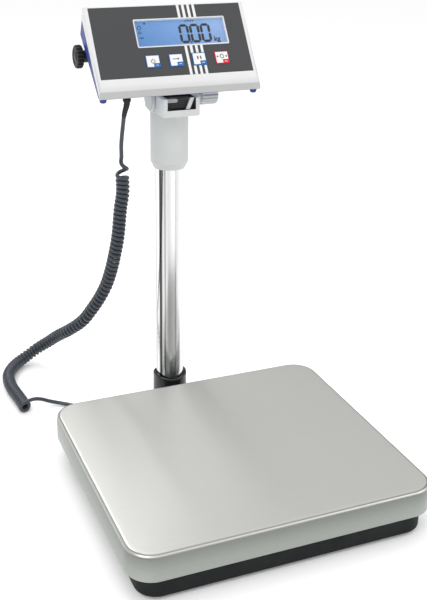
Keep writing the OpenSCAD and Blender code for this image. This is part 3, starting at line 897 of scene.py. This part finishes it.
def column_foot():
    """Glossy cup round the tube with a rolled, scooped rim, and its tongue."""
    outer, n = 21, 96
    base = [(2, 16), (19.8, 16), (20.7, 16.4), (outer, 17.2), (outer, 30)]
    rim = [(outer, -1.9), (20.8, -1.1), (20.3, -0.4), (19.7, 0), (19.1, -0.2)]
    rim += [(18.8, -0.9), (18.7, -1.9), (18.2, -2.4), (17.15, -2.6)]
    levels = [(r, z, 0) for r, z in base] + [(r, z, 1) for r, z in rim]
    levels += [(17.1, 20.2, 0), (2, 20.2, 0)]
    loops = []
    for r, z, on_rim in levels:
        loop = []
        for k in range(n):
            a = 2 * math.pi * k / n
            height = z + (scoop(outer * math.cos(a)) if on_rim else 0)
            loop.append(mm(r * math.cos(a), r * math.sin(a), height))
        loops.append(loop)
    cup = loft(loops, smooth_angle=50)
    tongue = box_mesh((-28, -109, 16), (28, -12, 24), 1.2, 3)
    me = boolean(cup, [tongue], "UNION", 40)
    hole = moved(pin(3.2, -2, 10, axis="Y"), shift(0, 17, 32))
    me = boolean(me, [hole, pin(17.1, 20.2, 60, 96)], smooth_angle=40)
    add("column_cup", me, "foot_gloss", "root", ("column_foot",), AT_COLUMN)


def column_holder():
    """Pale sleeve that widens into a windowed box with round side bosses."""
    r, low, high = 22.5, 315, 385.2
    sleeve = [(2, low), (r - 4.2, low), (r - 3.7, low + 0.3), (r - 0.5, low + 7.0)]
    sleeve += [(r - 0.1, low + 7.8), (r, low + 9), (r, high), (2, high)]
    body = lathe(sleeve, 128)
    box = box_mesh((-22, -42, 384), (22, 24, 405.5), 1.3, 3)
    boss = [(2, -26.5), (12.3, -26.5), (13.1, -26.2), (13.5, -25.4), (13.5, -10), (2, -10)]
    bead = [(2, -24.4), (15.0, -24.4), (15.7, -24.1), (16, -23.4), (16, -22.8)]
    bead += [(15.4, -22.0), (14, -10), (2, -10)]
    extra = [box]
    for side in (1, -1):
        for profile in (boss, bead):
            line = [(q, side * h) for q, h in profile]
            extra.append(moved(lathe(line, 96, axis="X"), shift(0, 0, NECK_Z)))
    me = boolean(body, extra, "UNION")
    cutters = [
        box_mesh((-40, -40, 411), (40, 40, 430)),
        pin(17.05, low - 2, 388, 96),
        box_mesh((-17, -37.5, 392), (17, 19.5, 430), 0.5),
        box_mesh((-17, -50, 392), (17, -30, 430), 0.5),
    ]
    me = boolean(me, cutters)
    add("holder", me, "holder_grey", "root", ("column_holder",), AT_COLUMN)


def knuckle():
    """Ribbed dark block between the holder's cheeks."""
    parts = [
        box_mesh((-16.7, -36, 392.2), (16.7, 18, 402.7), 0.5),
        box_mesh((-16.7, -8, 392), (16.7, 18, 412), 0.8),
    ]
    me = boolean(parts[0], [parts[1]], "UNION")
    ribs = [
        box_mesh((-16.5, -37.2, 392.9 + 2.6 * k), (16.5, -35.5, 394.2 + 2.6 * k), 0.35)
        for k in range(4)
    ]
    block = joined([me, *ribs])
    add("neck_block", block, "neck_black", "root", ("neck_knuckle",), AT_COLUMN)


def neck_fittings():
    """A slanted pawl and a notched stop in the window, and the neck's clamp knob."""
    pawl = shape([(6, 392.2), (10.4, 392.2), (15.8, 405.1), (11.4, 405.1)], -40, -37.5)
    add("pawl", pawl, "holder_grey", "root", ("neck_pawl",), AT_COLUMN)
    r, x, z = 2.1, -6.4, 402.9
    angles = [math.pi * k / 10 for k in range(11)]
    end = [(x + r * math.sin(a), z - r * math.cos(a)) for a in angles]
    stop = shape([(-16.5, 405), (-16.5, 400.8), *end], -40.3, -37.4)
    add("stop_plate", stop, "yoke_grey", "root", ("neck_stop",), AT_COLUMN)
    grip = [(2, 26.8), (7.6, 26.8), (8, 27.3), (8, 36.6), (10.8, 37.0, 0.2), (11.8, 37.6, 0.9)]
    grip += [(12.2, 38.6, 1.2), (12.2, 55.4, 1.2), (11.7, 56.9, 0.9), (10.6, 57.5, 0.2)]
    grip += [(7, 57.5), (6.4, 56.9), (2, 56.9)]
    knob = lathe(grip, 180, 18, "X")
    place = AT_COLUMN @ shift(0, 0, NECK_Z)
    add("neck_knob", knob, "holder_grey", "neck_knob", ("neck_clamp_knob",), place)


column_foot()
column_holder()
knuckle()
neck_fittings()


# ---------- display head ----------

TILT = 34.0
PIVOT = (0, 183.2, 447.2)
AT_HEAD = shift(*PIVOT) @ turn("X", -TILT) @ shift(0, -38, -3)
# (depth, height) of the shells' parting, of their outlines, and of the space inside
PARTING = [(13, 37.36), (3, -65)]
BACK_TOP, BACK_LOW = (31.5, 21), (11, -59.5)
FRONT = [(0, 45.3), *PARTING, (0, -57.6)]
REAR = [PARTING[0], (18.5, 34), (29, 27.5), (31.5, 24), BACK_TOP, BACK_LOW, PARTING[1]]
CAVITY = [(3, 41), (17, 32), (27.5, 25.5), (28.7, 21.5), (9, -57), (3, -59.5)]
REAR_LEAN = math.degrees(
    math.atan((BACK_TOP[0] - BACK_LOW[0]) / (BACK_TOP[1] - BACK_LOW[1]))
)
AT_REAR = AT_HEAD @ shift(0, *BACK_TOP) @ turn("X", -REAR_LEAN)
WINDOW_C, WINDOW = (13.4, 9.75), (108, 32.5)
KEY_Z, KEY_PITCH, KEY = -24.7, 27.7, (16.6, 15.2)
HEAD_W = 192.0
OVERLAY_W, OVERLAY_H = 182.2, 86.2
# (height, depth of the screw's seat) of the upper and lower case screws
CASE_SCREW_X, CASE_SCREWS = 88, ((26, 26), (-48, 10.4))


def on_parting(p):
    """Whether a point lies where the two shells meet."""
    (y0, z0), (y1, z1) = PARTING
    return abs((p.y - y0) * (z1 - z0) - (p.z - z0) * (y1 - y0)) < 1.0


def front_edges(a, b):
    if on_parting(a) and on_parting(b):
        return 0.35
    if abs(a.x - b.x) < 1 and not (on_parting(a) or on_parting(b)):
        return 1.6
    if abs(a.x - b.x) > 1 and a.z > 40:
        return 1.6
    return 1.2


def rear_edges(a, b):
    if on_parting(a) and on_parting(b):
        return 0.35
    return 1.8 if abs(a.x - b.x) < 1 else 1.4


def front_shell():
    """White frame of the head, cut for the overlay, the window and the keys."""

    def cutter(x, z, w, h, y0=-2, y1=6):
        return box_mesh((x - w / 2, y0, z - h / 2), (x + w / 2, y1, z + h / 2))

    gap = 0.3
    cutters = [
        prism(CAVITY, HEAD_W - 5),
        cutter(0, 0, OVERLAY_W, OVERLAY_H, -3, 0.8),
        cutter(*WINDOW_C, *WINDOW),
    ]
    for i in range(-1, 3):
        cutters.append(cutter(i * KEY_PITCH, KEY_Z, KEY[0] + 2 * gap, KEY[1] + 2 * gap))
    me = boolean(prism(FRONT, HEAD_W, front_edges, 4), cutters)
    add("front_case", me, "shell_white", "head", ("front_shell",), AT_HEAD)


def rear_shell():
    """Back of the head, with seats for the battery cover, socket, screws and vents."""
    to_rear = AT_HEAD.inverted() @ AT_REAR
    cutters = [prism(CAVITY, HEAD_W - 5)]
    wedge = box_mesh((0, 0, -100), (10, 10, 20))
    for side, angle in ((1, -45), (-1, 135)):
        where = shift(side * (HEAD_W / 2 - 4), 0, 0) @ turn("Z", angle)
        cutters.append(moved(wedge, to_rear @ where))
    socket = moved(pin(4.6, -10, 5, 48, "Y"), shift(57, 0, -20))
    cover_seat = box_mesh((-38.25, -2, -64.25), (38.25, 8, -15.75), 0.4)
    battery_bay = box_mesh((-34, -8, -60), (34, 2, -20), 0.6)
    cutters += [moved(me, to_rear) for me in (cover_seat, battery_bay, socket)]
    seat = pin(3.4, 0, 14, axis="Y")
    for x in (-CASE_SCREW_X, CASE_SCREW_X):
        for z, depth in CASE_SCREWS:
            cutters.append(moved(seat, shift(x, depth, z)))
    for k in range(6):
        vent = box_mesh((-64, -6, -52 + 4.6 * k), (-45, 3, -50 + 4.6 * k), 0.7)
        cutters.append(moved(vent, to_rear))
    nub = lathe([(0.5, -5.5), (2.6, -5.4), (3.6, -4.6), (4, -3.2), (4.1, 1.2), (0.5, 1.2)], 32)
    nubs = [moved(nub, shift(x, 9, -60.5) @ turn("X", TILT)) for x in (90, -90)]
    me = boolean(prism(REAR, HEAD_W, rear_edges, 4), cutters)
    me = boolean(me, nubs, "UNION")
    add("rear_case", me, "shell_blue", "head", ("rear_shell",), AT_HEAD)


def window_frame():
    outer = round_outline(WINDOW[0] + 2.4, WINDOW[1] + 2.4, 1.6, WINDOW_C)
    inner = round_outline(WINDOW[0] - 0.6, WINDOW[1] - 0.6, 0.9, WINDOW_C)
    ring = ring_shape(outer, inner, -0.25, 0.12)
    add("window_frame", ring, "frame_silver", "head", (), AT_HEAD)


def segment(x0, z0, x1, z1, half):
    """A display segment with pointed ends between two points."""
    a, b = Vector((x0, z0)), Vector((x1, z1))
    d = (b - a).normalized()
    n = Vector((-d.y, d.x))
    pts = [a, a + (d + n) * half, b + (n - d) * half]
    pts += [b, b - (d + n) * half, a + (d - n) * half]
    return [(p.x, p.y) for p in pts]


def nought(x, z, w, h, half=1.5):
    """The outlines of the six segments of a nought."""
    ends = [
        (0, h, w, h), (w, h, w, h / 2), (w, h / 2, w, 0),
        (0, 0, w, 0), (0, h / 2, 0, 0), (0, h, 0, h / 2),
    ]
    out = []
    for x0, z0, x1, z1 in ends:
        a, b = Vector((x + x0, z + z0)), Vector((x + x1, z + z1))
        gap = (b - a).normalized() * 0.2
        a, b = a + gap, b - gap
        out.append(segment(a.x, a.y, b.x, b.y, half))
    return out


def bar(x0, z0, x1, z1):
    """The outline of an upright rectangle."""
    return [(x0, z0), (x1, z0), (x1, z1), (x0, z1)]


def letters(text, size, x, z, y0, y1, bold=0.0):
    """Plain letters as a thin mesh, such as a unit of measure."""
    curve = bpy.data.curves.new("t", "FONT")
    curve.body, curve.size = text, size * MM
    curve.extrude = abs(y1 - y0) / 2 * MM
    curve.offset = bold * MM
    obj = linked("t", curve)
    me = mesh_result(obj)
    bpy.data.objects.remove(obj)
    me.transform(shift(x, (y0 + y1) / 2, z) @ turn("X", 90))
    return me


def display():
    """The reading on the display, with a few plain state marks."""
    front, back = 2.86, 2.985
    outlines = []
    for x in (13.0, 26.1, 39.2):
        outlines += nought(x, -1.8, 9.2, 20.4)
    outlines.append(bar(23.2, -3.4, 25.1, -1.4))
    parts = [shape(outline, front, back) for outline in outlines]
    parts.append(letters("kg", 8.4, 52.4, -2.4, front, back, 0.22))
    add("reading", joined(parts), "segment_black", "head", (), AT_HEAD)
    at = (-35, 17.8)
    outlines = [
        [(-37.4, 10.6), (-36.6, 10.4), (-34.8, 14), (-35.6, 14.2)],
        [(-35.2, 10.6), (-34.4, 10.4), (-32.8, 13), (-33.6, 13.2)],
        bar(-36, 5.0, -31.6, 6.1),
        bar(-29, 22.0, -27, 23.8),
    ]
    outlines += [bar(21 + 2.9 * k, 23.4, 23 + 2.9 * k, 24.6) for k in range(4)]
    marks = [ring_shape(disc_outline(2.4, at), disc_outline(1.7, at), front, back)]
    marks += [shape(outline, front, back) for outline in outlines]
    add("state_marks", joined(marks), "segment_black", "head", (), AT_HEAD)


def key_symbol(kind):
    """Plain symbols in place of words, centred on the key."""
    y0, y1 = -0.98, -0.86
    if kind == "power":
        n, gap = 28, 38
        angles = [math.radians(gap + (360 - 2 * gap) * k / n) for k in range(n + 1)]
        outer = [(2.6 * math.sin(a), 2.6 * math.cos(a)) for a in angles]
        inner = [(1.9 * math.sin(a), 1.9 * math.cos(a)) for a in reversed(angles)]
        outlines = [outer + inner, bar(-0.38, 0.6, 0.38, 3.1)]
    elif kind == "units":
        tip = [(1.6, 1.7), (1.6, 2.8), (3.9, 1.3), (1.6, -0.2), (1.6, 0.9)]
        outlines = [[(-4.2, 1.7), *tip, (-4.2, 0.9)]]
    elif kind == "hold":
        outlines = [bar(x, -0.6, x + 1.5, 3.2) for x in (-2.5, 1.0)]
    else:
        outlines = [[(s * 6.2, 2.4), (s * 3.4, 1.3), (s * 6.2, 0.2)] for s in (-1, 1)]
    parts = [shape(outline, y0, y1) for outline in outlines]
    if kind == "zero":
        outer = round_outline(4.4, 5.4, 2.0, (0, 1.3))
        inner = round_outline(2.9, 3.9, 1.3, (0, 1.3))
        parts.insert(0, ring_shape(outer, inner, y0, y1))
    return parts


def key(index, kind, edge):
    """A key's coloured cap, with its white face, symbol and small white line."""
    name = "key_" + kind
    w, h = KEY
    place = AT_HEAD @ shift((index - 1) * KEY_PITCH, 0, KEY_Z)
    cap = box_mesh((-w / 2, -0.7, -h / 2), (w / 2, 2.4, h / 2), 0.45, 3)
    add(name + "_cap", cap, edge, name, (name,), place)
    x, z, tab_w, tab_h = w / 2 - 1.0, h / 2 - 1.0, 7.0, 4.2
    face = [(-x, -z), (x - tab_w, -z), (x - tab_w, -z + tab_h)]
    face += [(x, -z + tab_h), (x, z), (-x, z)]
    add(name + "_face", shape(face, -0.88, -0.6), "key_white", name, (), place)
    add(name + "_symbol", joined(key_symbol(kind)), "print_dark", name, (), place)
    mark = shape(bar(x - 4.6, -z + 1.5, x - 1.6, -z + 2.1), -0.82, -0.6)
    add(name + "_mark", mark, "key_white", name, (), place)


def clamp_knob(name, side):
    """Scalloped knob with a dished face and a round cap in its middle."""
    line = [(3.2, 78.3), (6.5, 78.3), (7, 78.8), (7, 96), (11, 96.5, 0.2), (12.5, 96.9, 1.0)]
    line += [(13.3, 98.1, 1.7), (13.3, 102.7, 1.7), (12.7, 104.0, 1.2), (11.4, 104.5, 0.2)]
    line += [(10.0, 104.5), (9.2, 103.7), (6.4, 103.4), (5.6, 104.1)]
    line += [(4.8, 104.5), (0.5, 104.5)]
    me = lathe([(p[0], side * p[1], *p[2:]) for p in line], 216, 18, "X")
    add(name + "_grip", me, "knob_black", name, (name,), shift(*PIVOT))


def rear_details():
    """Grip ridges on the battery cover, and blank plates behind the head and underneath."""
    tops = [-23.4 - 2.4 * k for k in range(5)]
    ridges = joined([box_mesh((-9, -0.1, z - 1.2), (9, 0.7, z), 0.3) for z in tops])
    add("cover_ridges", ridges, "shell_blue", "battery_cover", (), AT_REAR)
    label = box_mesh((-30, -0.2, -13), (30, 0.25, -4), 0.12)
    add("rating_plate", label, "label_silver", "head", (), AT_REAR)
    under = box_mesh((-40, -60, 8.75), (40, -20, 9.2), 0.1)
    add("base_label", under, "label_silver", "root", (), AT_PLATE)


front_shell()
rear_shell()
window_frame()
display()
for index, kind in enumerate(("power", "units", "hold", "zero")):
    key(index, kind, "key_edge_red" if kind == "zero" else "key_edge_blue")
clamp_knob("knob_left", -1)
clamp_knob("knob_right", 1)
rear_details()
spots = [(x, depth, z) for x in (-CASE_SCREW_X, CASE_SCREW_X) for z, depth in CASE_SCREWS]
head, stem = (3.0, 1.8, 0.8, 3.6), (1.5, -6.0, 0, 0.7)
screws("case_screw_set", spots, head, stem, "head", "shell_screws", AT_HEAD, -90)
spots = [(x, 182, 414.5) for x in (-9, 9)]
head, stem = (3.8, 2.4, 0.9, 4.4), (2.0, -8.4, 0, 0.8)
screws("yoke_screw_set", spots, head, stem, "root", "yoke_screws")

# ---------- finishes of the CAD nodes that stay ----------

FINISHES = {
    "column": "column_tube",
    "zinc": "upper_spacer lower_spacer cell_screws overload_stops column_clamp_screw"
    " neck_pin pivot_bolts",
    "cell_alloy": "load_cell",
    "steel_paint": "base_plate load_carrier",
    "black_rubber": "plate_buffers base_cable_gland head_cable_gland",
    "yoke_grey": "yoke",
    "neck_black": "friction_washers",
    "shell_blue": "pivot_lugs battery_cover",
    "knob_black": "power_socket",
    "overlay": "front_overlay",
    "window_clear": "window_lens",
    "lcd_blue": "lcd_panel",
    "backlight": "backlight",
    "board_green": "main_board",
    "silicone": "key_mat",
    "battery_wrap": "battery_pack",
}
for finish, names in FINISHES.items():
    for name in names.split():
        paint_node(name, M[finish])
# the nodes that pieces stand for are hidden, and carry a plain metal
for name in NODES:
    if NODES[name].hide_render:
        paint_node(name, M["zinc"])


def soften(width, *names):
    """Small round edges on CAD nodes that stay, made by modifiers alone."""
    for name in names:
        obj = NODES[name]
        obj.data.shade_smooth()
        weld = obj.modifiers.new("weld", "WELD")
        weld.merge_threshold = 0.00001
        planes = obj.modifiers.new("planes", "DECIMATE")
        planes.decimate_type = "DISSOLVE"
        planes.angle_limit = math.radians(0.5)
        edge = obj.modifiers.new("edge", "BEVEL")
        edge.width, edge.segments = width * MM, 2
        edge.limit_method, edge.angle_limit = "ANGLE", math.radians(35)
        flat = obj.modifiers.new("flat_faces", "WEIGHTED_NORMAL")
        flat.keep_sharp = True


soften(0.5, "yoke", "pivot_lugs", "load_carrier", "base_plate", "load_cell")
soften(0.3, "battery_cover", "power_socket", "friction_washers", "pivot_bolts")
soften(0.3, "column_clamp_screw", "head_cable_gland", "base_cable_gland", "plate_buffers")


# ---------- stage ----------


def floor(half=8.0):
    """A wide pale floor, in metres."""
    me = bpy.data.meshes.new("floor")
    ends = [(-half, -half, 0), (half, -half, 0), (half, half, 0), (-half, half, 0)]
    me.from_pydata(ends, [], [(0, 1, 2, 3)])
    obj = linked("floor", me)
    pale = material("floor_pale", (0.96, 0.96, 0.96), 0.9, Specular_IOR_Level=0.2)
    put(shader(pale), Emission_Color=(1, 1, 1, 1), Emission_Strength=0.14)
    me.materials.append(pale)


def area_light(name, at, toward, size, power):
    data = bpy.data.lights.new(name, "AREA")
    data.shape, data.size, data.energy = "SQUARE", size, power
    obj = linked(name, data)
    aim = (Vector(toward) - Vector(at)).to_track_quat("-Z", "Y")
    obj.matrix_world = Matrix.Translation(Vector(at)) @ aim.to_matrix().to_4x4()


# Direction in degrees from +X, and how bright the surroundings are there
WORLD_BANDS = [
    (-180, 0.30), (-150, 0.40), (-110, 0.45), (-60, 0.50), (-20, 0.60), (30, 0.50),
    (60, 0.45), (100, 0.62), (140, 0.60), (160, 0.40), (180, 0.30),
]
OVERHEAD, BACKDROP = (1.05, 1.05, 1.05, 1), (1.06, 1.06, 1.06, 1)


def world():
    """Even pale surroundings, with soft darker bands that polished metal picks up."""
    w = bpy.data.worlds.new("studio")
    bpy.context.scene.world = w
    w.use_nodes = True
    t = w.node_tree
    where = t.nodes.new("ShaderNodeTexCoord")
    seen = t.nodes.new("ShaderNodeLightPath")
    around, height = round_z(t, where.outputs["Generated"])
    bands = tree_ramp(t, around, [((a + 180) / 360, c) for a, c in WORLD_BANDS])
    upward = tree_ramp(t, height, [(0.34, 0.0), (0.66, 1.0)])
    lit = mixed(t, upward, bands, OVERHEAD)
    back = put(t.nodes["Background"], Strength=0.95)
    color = mixed(t, seen.outputs["Is Camera Ray"], lit, BACKDROP)
    t.links.new(color, back.inputs["Color"])


floor()
world()
area_light("key_light", (-1.6, -1.2, 2.2), (0, 0, 0.2), 1.4, 18)
area_light("fill_light", (1.8, -1.0, 1.6), (0, 0, 0.2), 1.6, 9)
area_light("back_light", (-0.35, 1.45, 1.45), (-0.1, -0.1, 0.05), 0.8, 9)
area_light("top_light", (0.1, 0.3, 2.6), (0, 0, 0.1), 1.8, 7)
bpy.context.scene.view_settings.view_transform = "Standard"
